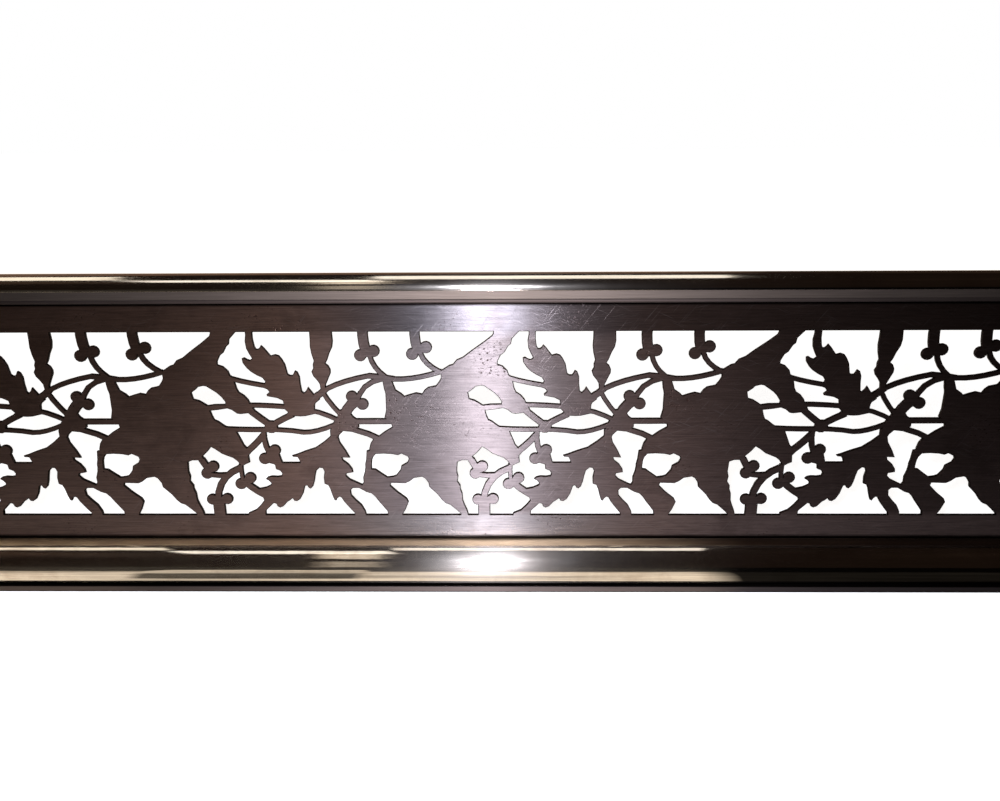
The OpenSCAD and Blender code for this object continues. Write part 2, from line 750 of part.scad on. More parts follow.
module right_corner_rivets()
    for (z = corner_heights) {
        on_front() translate([half_len - corner_rivet_s, 0, z]) rivet(angle_t, false);
        on_right() translate([corner_rivet_s - return_len / 2, 0, z]) rivet(angle_t, false);
    }

module corner_rivets()
    color("gray") for (side = [0, 1]) mirror([side, 0, 0]) right_corner_rivets();

module right_stile_rivets()
    on_right() for (z = stile_heights)
        translate([return_len / 2 - stile_rivet_s, 0, z]) {
            pin_across(rivet_d, -sheet_t - cap_t, cap_t);
            dome(sheet_t + cap_t);
        }

module stile_rivets()
    color("gray") for (side = [0, 1]) mirror([side, 0, 0]) right_stile_rivets();

module joint_rivets()
    color("gray") for (side = [0, 1]) mirror([side, 0, 0]) joint_places() {
        translate([0, 0, plate_z]) cylinder(h = plate_t + angle_t, d = rivet_d);
        translate([0, 0, plate_top + angle_t]) rotate([90, 0, 0]) dome(0);
    }

nut_z = plate_top + angle_t;

module floor_screws()
    color("gray") on_three_sides(front_mids, return_mids) {
        screw_sink(0, 0);
        translate([0, foot_mid, plate_z])
            cylinder(h = nut_z - plate_z + nut_h + screw_over, d = screw_d);
    }

module floor_nuts()
    color("darkgray") on_three_sides(front_mids, return_mids)
        translate([0, foot_mid, nut_z]) difference() {
            cylinder(h = nut_h, d = nut_d, $fn = 6);
            translate([0, 0, -cut]) cylinder(h = nut_h + 2 * cut, d = screw_d + shank_gap);
        }

front_panel();
left_panel();
right_panel();
front_top_rail();
left_top_rail();
right_top_rail();
front_base_moulding();
left_base_moulding();
right_base_moulding();
front_base_angle();
left_base_angle();
right_base_angle();
front_floor_plate();
left_floor_plate();
right_floor_plate();
left_joint_plate();
right_joint_plate();
left_corner_angle();
right_corner_angle();
left_end_stile();
right_end_stile();
left_rail_cap();
right_rail_cap();
left_base_cap();
right_base_cap();
rail_rivets();
base_rivets();
corner_rivets();
stile_rivets();
joint_rivets();
floor_screws();
floor_nuts();
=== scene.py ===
# Fire fender of pierced burnished steel: rebuilt mouldings, softened sheets, steel finishes
import math

import bmesh
import bpy
from mathutils import Matrix, Vector


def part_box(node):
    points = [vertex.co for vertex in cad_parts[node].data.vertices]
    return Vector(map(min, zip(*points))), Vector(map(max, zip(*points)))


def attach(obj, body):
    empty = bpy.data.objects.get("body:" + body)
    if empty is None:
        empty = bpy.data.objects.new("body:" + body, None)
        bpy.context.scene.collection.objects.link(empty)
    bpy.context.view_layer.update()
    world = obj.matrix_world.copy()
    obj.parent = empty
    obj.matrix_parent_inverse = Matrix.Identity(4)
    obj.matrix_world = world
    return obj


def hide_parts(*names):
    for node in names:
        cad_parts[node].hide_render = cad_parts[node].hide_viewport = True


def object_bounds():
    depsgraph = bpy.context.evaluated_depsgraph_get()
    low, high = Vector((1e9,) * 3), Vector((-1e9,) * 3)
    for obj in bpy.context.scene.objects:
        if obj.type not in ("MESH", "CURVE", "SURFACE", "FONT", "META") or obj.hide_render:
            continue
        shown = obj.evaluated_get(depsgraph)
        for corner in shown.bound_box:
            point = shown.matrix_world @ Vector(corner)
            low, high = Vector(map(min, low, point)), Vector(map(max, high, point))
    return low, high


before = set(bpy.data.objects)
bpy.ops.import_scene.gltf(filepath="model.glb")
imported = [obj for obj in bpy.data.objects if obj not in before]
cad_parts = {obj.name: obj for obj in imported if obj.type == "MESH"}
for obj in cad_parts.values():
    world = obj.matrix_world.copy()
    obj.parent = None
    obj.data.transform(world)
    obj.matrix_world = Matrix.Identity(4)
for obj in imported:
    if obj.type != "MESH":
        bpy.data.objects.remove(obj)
cadLow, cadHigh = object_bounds()
print("frame loaded:", len(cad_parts), "nodes")

mm = 0.001
frontLow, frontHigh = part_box("front_panel")
sheetFace = frontLow.y    # outer face of the front sheet
halfLength = frontHigh.x  # from the middle to the outer face of a return
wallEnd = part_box("left_panel")[1].y
sideMiddle = (sheetFace + wallEnd) / 2
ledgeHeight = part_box("front_base_moulding")[1].z  # top of the base moulding
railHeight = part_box("front_top_rail")[0].z        # underside of the top rail


meshing = {
    "weld": 0.001,     # corners nearer than this are one, mm
    "cadWeld": 0.002,  # and those of the CAD's loose triangles
    "slit": 0.0001,    # how near a mitre's cut a corner counts as on it, mm
    "flat": 0.4,       # faces that turn less than this are one face, degrees
    "foldSegments": 4,
}


def finishPiece(bm, name, sharpAngle):
    # merges, turns the faces outwards, marks hard edges and makes the object
    bmesh.ops.remove_doubles(bm, verts=bm.verts, dist=meshing["weld"] * mm)
    bmesh.ops.recalc_face_normals(bm, faces=bm.faces)
    for face in bm.faces:
        face.smooth = True
    for edge in bm.edges:
        edge.smooth = edge.calc_face_angle(0) < math.radians(sharpAngle)
    mesh = bpy.data.meshes.new(name)
    bm.to_mesh(mesh)
    bm.free()
    piece = bpy.data.objects.new(name, mesh)
    bpy.context.collection.objects.link(piece)
    even = piece.modifiers.new("evenShading", "WEIGHTED_NORMAL")
    even.keep_sharp = True
    return piece


def standFor(piece, node, finish):
    piece.data.materials.append(finish)
    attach(piece, "root")
    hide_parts(node)


def drawSection(bm, start, steps):
    # a closed outline in (outwards, height): a step is a point, or an arc's centre, turn and count
    tip = first = bm.verts.new((start[0] * mm, 0, start[1] * mm))
    for step in steps:
        if len(step) == 2:
            tip = bmesh.ops.extrude_vert_indiv(bm, verts=[tip])["verts"][0]
            tip.co = (step[0] * mm, 0, step[1] * mm)
        else:
            centre, turn, count = step
            swept = bmesh.ops.spin(
                bm, geom=[tip], cent=(centre[0] * mm, 0, centre[1] * mm), axis=(0, 1, 0),
                angle=math.radians(turn), steps=count,
            )
            tip = [part for part in swept["geom_last"] if isinstance(part, bmesh.types.BMVert)][0]
    bm.edges.new((tip, first))
    bmesh.ops.contextual_create(bm, geom=bm.edges[:])


def roundFolds(bm, corners, radius):
    # rounds the folds of a section, nearest to the given corners
    folds = []
    for out, up in corners:
        place = Vector((out * mm, 0, up * mm))
        folds.append(min(bm.verts, key=lambda vert: (vert.co - place).length))
    bmesh.ops.bevel(
        bm, geom=folds, affect="VERTICES", offset=radius * mm,
        segments=meshing["foldSegments"], profile=0.5, material=-1,
    )


def runAlong(bm, side, overrun=30):
    # runs a section along a side of the fender, then cuts it at the mitres and wall ends
    reach = halfLength if side == "front" else (wallEnd - sheetFace) / 2
    reach += overrun * mm
    swept = bmesh.ops.extrude_face_region(bm, geom=bm.faces[:])
    moved = [part for part in swept["geom"] if isinstance(part, bmesh.types.BMVert)]
    bmesh.ops.translate(bm, verts=moved, vec=(0, 2 * reach, 0))
    bmesh.ops.translate(bm, verts=bm.verts, vec=(0, -reach, 0))
    turn, place = {
        "front": (-90, (0, sheetFace, 0)),
        "right": (0, (halfLength, sideMiddle, 0)),
        "left": (180, (-halfLength, sideMiddle, 0)),
    }[side]
    bmesh.ops.transform(
        bm, verts=bm.verts,
        matrix=Matrix.Translation(place) @ Matrix.Rotation(math.radians(turn), 4, "Z"),
    )
    # each cut is a point and the way to the waste
    if side == "front":
        cuts = [((hand * halfLength, sheetFace, 0), (hand, 1, 0)) for hand in (-1, 1)]
    else:
        hand = 1 if side == "right" else -1
        cuts = [((hand * halfLength, sheetFace, 0), (-hand, -1, 0)), ((0, wallEnd, 0), (0, 1, 0))]
    for point, away in cuts:
        cut = bmesh.ops.bisect_plane(
            bm, geom=bm.verts[:] + bm.edges[:] + bm.faces[:], dist=meshing["slit"] * mm,
            plane_co=point, plane_no=away, clear_outer=True,
        )
        rim = [part for part in cut["geom_cut"] if isinstance(part, bmesh.types.BMEdge)]
        bmesh.ops.contextual_create(bm, geom=rim)


baseMoulding = {
    "wall": 1.2,        # sheet it is rolled from, mm
    "beadRadius": 14.5,
    "beadOut": 0.5,
    "beadHeight": 12.0,
    "neckHeight": 1.0,
    "plinthHeight": 3.9,
    "neckIn": 3.0,
    "turnUnder": 6.0,
    "fold": 0.55,       # radius of a folded corner
    "outerSteps": 40,   # steps of the bead's round
    "innerSteps": 24,
    "sharp": 32,        # edges that turn more than this are hard, degrees
}


def makeBaseMoulding(side, finish):
    # a bold bead over a stepped plinth, hollow, its foot turned under
    size = baseMoulding
    wall, radius = size["wall"], size["beadRadius"]
    out, middle = size["beadOut"], size["beadHeight"]
    plinthOut = out + radius
    plinthTop = size["plinthHeight"]
    neckOut = plinthOut - size["neckIn"]
    footBack = plinthOut - size["turnUnder"]
    top = middle + radius
    throat = plinthTop + size["neckHeight"]
    inner = radius - wall
    drop = math.degrees(math.asin((middle - throat) / radius))
    rise = math.degrees(math.asin((middle - throat - wall) / inner))
    bm = bmesh.new()
    drawSection(bm, (0, top), [
        (out, top),
        ((out, middle), 90 + drop, size["outerSteps"]),
        (neckOut, throat),
        (neckOut, plinthTop),
        (plinthOut, plinthTop),
        (plinthOut, 0),
        (footBack, 0),
        (footBack, wall),
        (plinthOut - wall, wall),
        (plinthOut - wall, plinthTop - wall),
        (neckOut - wall, plinthTop - wall),
        (neckOut - wall, throat + wall),
        (out + inner * math.cos(math.radians(rise)), throat + wall),
        ((out, middle), -90 - rise, size["innerSteps"]),
        (0, top - wall),
    ])
    beadFoot = (out + radius * math.cos(math.radians(drop)), throat)
    roundFolds(bm, [(plinthOut, plinthTop), (plinthOut, 0), beadFoot], size["fold"])
    runAlong(bm, side)
    piece = finishPiece(bm, side + "BaseMoulding", size["sharp"])
    standFor(piece, side + "_base_moulding", finish)


topRail = {
    "wall": 1.2,        # sheet it is rolled from, mm
    "rollRadius": 8.0,
    "rollFoot": 0.5,
    "fasciaHeight": 4.8,
    "fasciaOut": 5.0,
    "lipHeight": 2.2,
    "lipBack": 0.8,
    "sheet": 2.0,       # panel that the rail sits on
    "fold": 0.4,        # radius of a folded corner
    "lipSteps": 12,
    "outerSteps": 48,   # steps of the roll's round
    "innerSteps": 28,
    "sharp": 32,        # edges that turn more than this are hard, degrees
}


def makeTopRail(side, finish):
    # a half-round roll over a flat fascia and a small lip, hollow, open under the lip
    size = topRail
    wall, radius, sheet = size["wall"], size["rollRadius"], size["sheet"]
    fasciaOut = size["fasciaOut"]
    foot = railHeight / mm
    lipOut = fasciaOut - size["lipBack"]
    lipRadius = size["lipHeight"] / 2
    lipTop = foot + size["lipHeight"]
    bandTop = lipTop + size["fasciaHeight"]
    middle = bandTop + size["rollFoot"]
    front, back = radius - sheet / 2, -radius - sheet / 2
    inner = radius - wall
    tilt = math.degrees(math.asin((wall - size["rollFoot"]) / inner))
    bm = bmesh.new()
    drawSection(bm, (lipOut - wall, foot), [
        (lipOut - lipRadius, foot),
        ((lipOut - lipRadius, foot + lipRadius), -180, size["lipSteps"]),
        (fasciaOut, lipTop),
        (fasciaOut, bandTop),
        (front, bandTop),
        (front, middle),
        ((-sheet / 2, middle), -180, size["outerSteps"]),
        (back, bandTop),
        (-sheet - wall, bandTop),
        (-sheet - wall, foot),
        (-sheet, foot),
        (-sheet, bandTop + wall),
        (-sheet / 2 - inner * math.cos(math.radians(tilt)), bandTop + wall),
        ((-sheet / 2, middle), 180 - 2 * tilt, size["innerSteps"]),
        (fasciaOut - wall, bandTop + wall),
        (fasciaOut - wall, lipTop + wall),
        (lipOut - wall, lipTop + wall),
    ])
    roundFolds(
        bm, [(fasciaOut, lipTop), (fasciaOut, bandTop), (front, bandTop), (back, bandTop)],
        size["fold"],
    )
    runAlong(bm, side)
    piece = finishPiece(bm, side + "TopRail", size["sharp"])
    standFor(piece, side + "_top_rail", finish)


def mergedCopy(node):
    # a CAD node's mesh without its loose corners and flat seams
    bm = bmesh.new()
    bm.from_mesh(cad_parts[node].data)
    bmesh.ops.remove_doubles(bm, verts=bm.verts, dist=meshing["cadWeld"] * mm)
    bmesh.ops.dissolve_limit(
        bm, angle_limit=math.radians(meshing["flat"]), verts=bm.verts, edges=bm.edges,
    )
    return bm


piercedSheet = {
    "rim": 0.42,        # rounding that the file and the burnisher left on the cut edges, mm
    "rimSegments": 3,
    "rimAngle": 1.0,    # edges that turn more than this are rims, radians
    "faceSlope": 0.98,  # faces that look less squarely out of the sheet are cut edges
    "sharp": 40,        # edges that turn more than this are hard, degrees
}


def makePanel(side, finish, edgeFinish):
    # the CAD sheet, its sawn rims rounded on both faces
    size = piercedSheet
    node = side + "_panel"
    bm = mergedCopy(node)
    axis = 1 if side == "front" else 0
    faces = [corner[axis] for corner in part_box(node)]
    rims = []
    for edge in bm.edges:
        ends = [vert.co[axis] for vert in edge.verts]
        onFace = any(all(abs(end - face) < meshing["weld"] * mm for end in ends) for face in faces)
        if onFace and edge.calc_face_angle(0) > size["rimAngle"]:
            rims.append(edge)
    bmesh.ops.bevel(
        bm, geom=rims, affect="EDGES", offset=size["rim"] * mm, segments=size["rimSegments"],
        profile=0.5, material=-1,
    )
    for face in bm.faces:
        face.material_index = 0 if abs(face.normal[axis]) > size["faceSlope"] else 1
    piece = finishPiece(bm, side + "PiercedPanel", size["sharp"])
    standFor(piece, node, finish)
    piece.data.materials.append(edgeFinish)


softened = {
    "hardAngle": 0.8,  # edges that turn more than this are softened, radians
    "segments": 2,
    "sharp": 40,
    # how far each part's edges are worn, mm
    "base_angle": 0.25,
    "floor_plate": 0.25,
    "joint_plate": 0.25,
    "corner_angle": 0.3,
    "end_stile": 0.3,
    "rail_cap": 0.15,
    "base_cap": 0.3,
}


def makeSoftened(side, part, finish):
    # a CAD node with its hard edges rounded
    bm = mergedCopy(side + "_" + part)
    hard = [edge for edge in bm.edges if edge.calc_face_angle(0) > softened["hardAngle"]]
    bmesh.ops.bevel(
        bm, geom=hard, affect="EDGES", offset=softened[part] * mm, segments=softened["segments"],
        profile=0.5, material=-1,
    )
    name = side + part.title().replace("_", "")
    piece = finishPiece(bm, name, softened["sharp"])
    standFor(piece, side + "_" + part, finish)


def linearColour(text):
    # sRGB hex to linear RGBA
    parts = [int(text[i:i + 2], 16) / 255 for i in (1, 3, 5)]
    return tuple(p / 12.92 if p <= 0.04045 else ((p + 0.055) / 1.055) ** 2.4 for p in parts) + (1,)


def addNode(tree, kind, inputs=None, **settings):
    # one shader node, its settings, and its inputs as values or as the outputs that feed them
    node = tree.nodes.new("ShaderNode" + kind)
    for name, value in settings.items():
        setattr(node, name, value)
    for socket, value in (inputs or {}).items():
        if isinstance(value, bpy.types.NodeSocket):
            tree.links.new(value, node.inputs[socket])
        else:
            node.inputs[socket].default_value = value
    return node


def newFinish(name):
    # an empty material, its tree, its output and the place on the object that patterns read
    finish = bpy.data.materials.new(name)
    finish.use_nodes = True
    tree = finish.node_tree
    tree.nodes.clear()
    out = addNode(tree, "OutputMaterial")
    return finish, tree, out, addNode(tree, "TexCoord").outputs["Object"]


def layColours(tree, body, layers):
    # lays colours over a body colour, each as far as its mask goes
    for mask, colour in layers:
        if isinstance(colour, str):
            colour = linearColour(colour)
        layer = addNode(tree, "Mix", {0: mask, 6: body, 7: colour}, data_type="RGBA")
        body = layer.outputs[2]
    return body


sheetSteel = {
    # painted light: the low leaves and the lower border lighter than the high leaves and the upper
    # border
    "lowLeaves": "#5e5756",
    "highLeaves": "#484342",
    "lower": "#615d5c",            # border under the leaves, painted light: lighter than the border over them
    "upper": "#434041",            # border over them, grey in itself: the lamp shows as a streak
    "tarnish": "#5e493e",          # painted shade: browner away from the lamp's streak in the middle
    "rightLow": "#52413a",         # painted shade: darker still towards the right
    "rightHigh": "#3b2e28",
    "inside": "#6d6560",           # one plain tone on the front's inner face and on the returns
    "stain": "#2c211c",
    "scratch": "#7d7673",
    "rust": "#241611",
    "dirtAndShade": "#070504",             # dirt and painted shade in the corners under the rail and over the base moulding
    "lowBorder": (0.018, 0.014),   # over the base moulding: where that border starts, is full, m
    "highBorder": (0.021, 0.015),  # the same for the other, under the rail
    "middle": 0.008,               # X of the middle of the lamp's streak, where no shade is painted, m
    "paintedShadeReach": (0.02, 0.11),        # how far from there the painted shade starts and is full, m
    "paintedShadeShare": (0.75, 0.95),     # how much of the painted shade shows low and high among the leaves
    "grainTone": (0.70, 1.26),     # how dark and how bright the grain makes the colour
    "polish": (0.34, 0.41),        # roughness, burnished
    "matt": 0.62,                  # roughness where a cloth doesn't press
    "mattLeaves": (0.74, 0.48),    # share of the matt look low and high among the leaves
    "mattLeft": (0.80, 0.25),      # what is left of it towards the left, low and high
    "mattRight": 0.4,              # and towards the right
    "mattLower": 0.58,             # share of it on the lower border
    "mattUpper": 0.18,
    "relief": 0.06,                # depth of the grain, mm
}


def makeSheetSteel():
    # mild steel sheet, burnished along its length: bright streaks across a lamp, a fine grain,
    # stray scratches, brown stains and small rust pits; painted light and shade besides: lighter
    # low than high, browner and darker away from the lamp's streak and towards the right
    look = sheetSteel
    finish, tree, out, place = newFinish("burnished_sheet_steel")
    parts = addNode(tree, "SeparateXYZ", {0: place}).outputs
    height = parts["Z"]
    leafFoot, lowFull = (ledgeHeight + step for step in look["lowBorder"])
    leafHead, highFull = (railHeight - step for step in look["highBorder"])

    pattern = {}
    for name, shift, scale, detail, roughness in (
        # grain 0.5 mm across and 15 mm long, from the burnisher's stroke
        ("grain", (0, 0, 0), (64, 64, 1900), 4.0, 0.7),
        # stains of some centimetres
        ("cloudy", (0, 0, 0), (28, 28, 28), 5.0, 0.6),
        # rust pits 0.4 to 1 mm wide, in patches of some centimetres
        ("pit", (0, 0, 0), (560, 560, 900), 2.0, 0.5),
        ("patch", (0.37, 0, 0.11), (24, 24, 34), 3.0, 0.5),
    ):
        moved = addNode(tree, "Mapping", {0: place, "Location": shift, "Scale": scale})
        pattern[name] = addNode(tree, "TexNoise", {
            0: moved.outputs[0], "Scale": 1.0, "Detail": detail, "Roughness": roughness,
        }).outputs[0]
    # stray scratches, 0.2 mm wide and 10 to 20 mm long, at three slants
    scratch = None
    for slant, seed in ((14, 0.0), (-24, 3.7), (52, 8.1)):
        turned = addNode(tree, "Mapping", {
            0: place, "Rotation": (0, math.radians(slant), 0), "Location": (seed, 0, seed),
        }).outputs[0]
        drawn = addNode(tree, "Mapping", {0: turned, "Scale": (60, 60, 2300)}).outputs[0]
        line = addNode(tree, "TexNoise", {0: drawn, "Scale": 1.0, "Detail": 1.0}).outputs[0]
        sharp = addNode(tree, "MapRange", {0: line, 1: 0.68, 2: 0.76}).outputs[0]
        if scratch is not None:
            sharp = addNode(tree, "Math", {0: scratch, 1: sharp}, operation="MAXIMUM").outputs[0]
        scratch = sharp
    ragged = addNode(
        tree, "Math", {0: pattern["grain"], 1: 0.0012, 2: height}, operation="MULTIPLY_ADD",
    ).outputs[0]
    offMiddle = addNode(
        tree, "Math", {0: parts["X"], 1: look["middle"]}, operation="SUBTRACT",
    ).outputs[0]
    aside = addNode(tree, "Math", {0: offMiddle}, operation="ABSOLUTE").outputs[0]

    # masks, 0 at the first measure and 1 at the second
    mask = {}
    for name, measure, none, full in (
        ("lowBorder", height, leafFoot, lowFull),
        ("highBorder", height, leafHead, highFull),
        ("rise", height, leafFoot, leafHead),
        # dirt and painted shade in the creases under the rail and over the base moulding
        ("underRail", ragged, railHeight - 0.0018, railHeight - 0.0006),
        ("overBase", ragged, ledgeHeight + 0.0036, ledgeHeight + 0.0019),
        ("rightward", parts["X"], -0.03, 0.08),
        ("inside", parts["Y"], sheetFace + 0.0009, sheetFace + 0.0011),
        ("pits", pattern["pit"], 0.62, 0.70),
        ("patches", pattern["patch"], 0.54, 0.68),
    ):
        mask[name] = addNode(tree, "MapRange", {0: measure, 1: none, 2: full}).outputs[0]
    for name, first, second, how in (
        ("rust", mask["pits"], mask["patches"], "MULTIPLY"),
        ("corner", mask["underRail"], mask["overBase"], "MAXIMUM"),
        ("scored", scratch, 0.15, "MULTIPLY"),
    ):
        mask[name] = addNode(tree, "Math", {0: first, 1: second}, operation=how).outputs[0]
    # values that slide from one to another
    slide = {}
    for name, measure, none, full, start, end in (
        ("paintedShadeShare", mask["rise"], 0.0, 1.0, *look["paintedShadeShare"]),
        ("stain", pattern["cloudy"], 0.55, 0.80, 0.0, 0.6),
        ("grainTone", pattern["grain"], 0.3, 0.7, *look["grainTone"]),
        ("polish", pattern["cloudy"], 0.3, 0.7, *look["polish"]),
        ("leaves", mask["rise"], 0.0, 1.0, *look["mattLeaves"]),
        ("leftShare", mask["rise"], 0.0, 1.0, *look["mattLeft"]),
        ("right", parts["X"], 0.06, 0.19, 1.0, look["mattRight"]),
    ):
        slide[name] = addNode(
            tree, "MapRange", {0: measure, 1: none, 2: full, 3: start, 4: end},
        ).outputs[0]
    slide["left"] = addNode(
        tree, "MapRange", {0: parts["X"], 1: -0.15, 2: -0.04, 3: slide["leftShare"], 4: 1.0},
    ).outputs[0]
    # painted shade: browner away from the lamp's streak in the middle
    browned = addNode(
        tree, "MapRange",
        {0: aside, 1: look["paintedShadeReach"][0], 2: look["paintedShadeReach"][1], 4: slide["paintedShadeShare"]},
        interpolation_type="SMOOTHSTEP",
    ).outputs[0]

    # painted shade: darker towards the right, and darker high than low
    rightTone = layColours(
        tree, linearColour(look["rightLow"]), [(mask["rise"], look["rightHigh"])],
    )
    brown = layColours(tree, linearColour(look["tarnish"]), [(mask["rightward"], rightTone)])
    # painted light: lighter low than high among the leaves and on the borders
    body = layColours(tree, linearColour(look["lowLeaves"]), [
        (mask["rise"], look["highLeaves"]), (mask["lowBorder"], look["lower"]),
        (mask["highBorder"], look["upper"]), (browned, brown), (mask["inside"], look["inside"]),
        (slide["stain"], look["stain"]),
    ])
    streaked = addNode(
        tree, "Mix", {0: 1.0, 6: body, 7: slide["grainTone"]}, data_type="RGBA",
        blend_type="MULTIPLY",
    ).outputs[2]
    colour = layColours(tree, streaked, [
        (mask["scored"], look["scratch"]), (mask["rust"], look["rust"]),
        (mask["corner"], look["dirtAndShade"]),
    ])

    rough = addNode(
        tree, "Math", {0: mask["rust"], 1: 0.3, 2: slide["polish"]}, operation="MULTIPLY_ADD",
    ).outputs[0]
    relief = pattern["grain"]
    for hollow, deep in ((scratch, -0.3), (mask["rust"], -2.0)):
        relief = addNode(
            tree, "Math", {0: hollow, 1: deep, 2: relief}, operation="MULTIPLY_ADD",
        ).outputs[0]
    bump = addNode(
        tree, "Bump", {"Strength": 0.5, "Distance": look["relief"] * mm, "Height": relief},
    ).outputs[0]
    across = addNode(tree, "CombineXYZ", {0: 0.01, 1: 0.02, 2: 1.0}).outputs[0]  # over the grain
    bright = addNode(tree, "BsdfPrincipled", {
        "Base Color": colour, "Metallic": 1.0, "Roughness": rough, "Anisotropic": 1.0,
        "Tangent": across, "Normal": bump,
    }).outputs[0]
    dull = addNode(tree, "BsdfPrincipled", {
        "Base Color": colour, "Metallic": 1.0, "Roughness": look["matt"], "Tangent": across,
        "Normal": bump,
    }).outputs[0]
    # most matt among the low leaves, where a cloth can't press
    share = slide["leaves"]
    for far in (slide["left"], slide["right"]):
        share = addNode(tree, "Math", {0: share, 1: far}, operation="MULTIPLY").outputs[0]
    for border, matt in ((mask["lowBorder"], "mattLower"), (mask["highBorder"], "mattUpper")):
        share = addNode(tree, "Mix", {0: border, 2: share, 3: look[matt]}).outputs[0]
    both = addNode(tree, "MixShader", {0: share, 1: bright, 2: dull})
    tree.links.new(both.outputs[0], out.inputs[0])
    return finish


# painted shade: the holes' walls near black, as walls in shade look
cutEdge = {"colour": "#110b09", "roughness": (0.34, 0.50)}


def makeCutEdge():
    # the sawn and filed walls of the holes, near black with painted shade, with specks of about a
    # millimetre
    look = cutEdge
    finish, tree, out, place = newFinish("painted_shade_cut_edge")
    speck = addNode(tree, "TexNoise", {0: place, "Scale": 900.0, "Detail": 2.0}).outputs[0]
    rough = addNode(tree, "MapRange", {
        0: speck, 1: 0.3, 2: 0.7, 3: look["roughness"][0], 4: look["roughness"][1],
    }).outputs[0]
    skin = addNode(tree, "BsdfPrincipled", {
        "Base Color": linearColour(look["colour"]), "Metallic": 1.0, "Roughness": rough,
    })
    tree.links.new(skin.outputs[0], out.inputs[0])
    return finish


rolledSteel = {
    "clean": "#cdc5bb",
    "tarnish": "#86705e",
    "shoulder": "#dcc2a0",         # flat top of the base moulding, where cloths catch
    "shoulderRight": "#4e3f33",    # painted shade: darker brown at the right
    "shadedRight": (0.06, 0.17),      # X where that starts and is full, m
    "fascia": "#554c45",           # flat band of the rail, which no wheel polished
    "lip": "#443b37",              # brown-black with old polish and painted shade, as the plinth is
    # the plinth: dark with old polish and painted shade
    "plinth": "#4e4643",
    "creaseShade": "#0d0a09",             # painted shade in the neck over the plinth, and at its foot
    "grainTone": (0.84, 1.10),     # how dark and how bright the grain makes the colour
    "polish": (0.035, 0.060),      # roughness of the base moulding's bead
    "railMore": 0.060,             # and how much rougher the rail is
    "flatMore": 0.52,
    "shoulderMore": 0.29,
    "scuffed": 0.366,              # roughness of the scuffs
    "scuffShare": (0.11, 0.015),   # how much of them the base moulding and the rail have
    "waves": 13.0,                 # height of the sheet's slack waves beside its grain
    "relief": 0.05,                # depth of the grain, mm
}


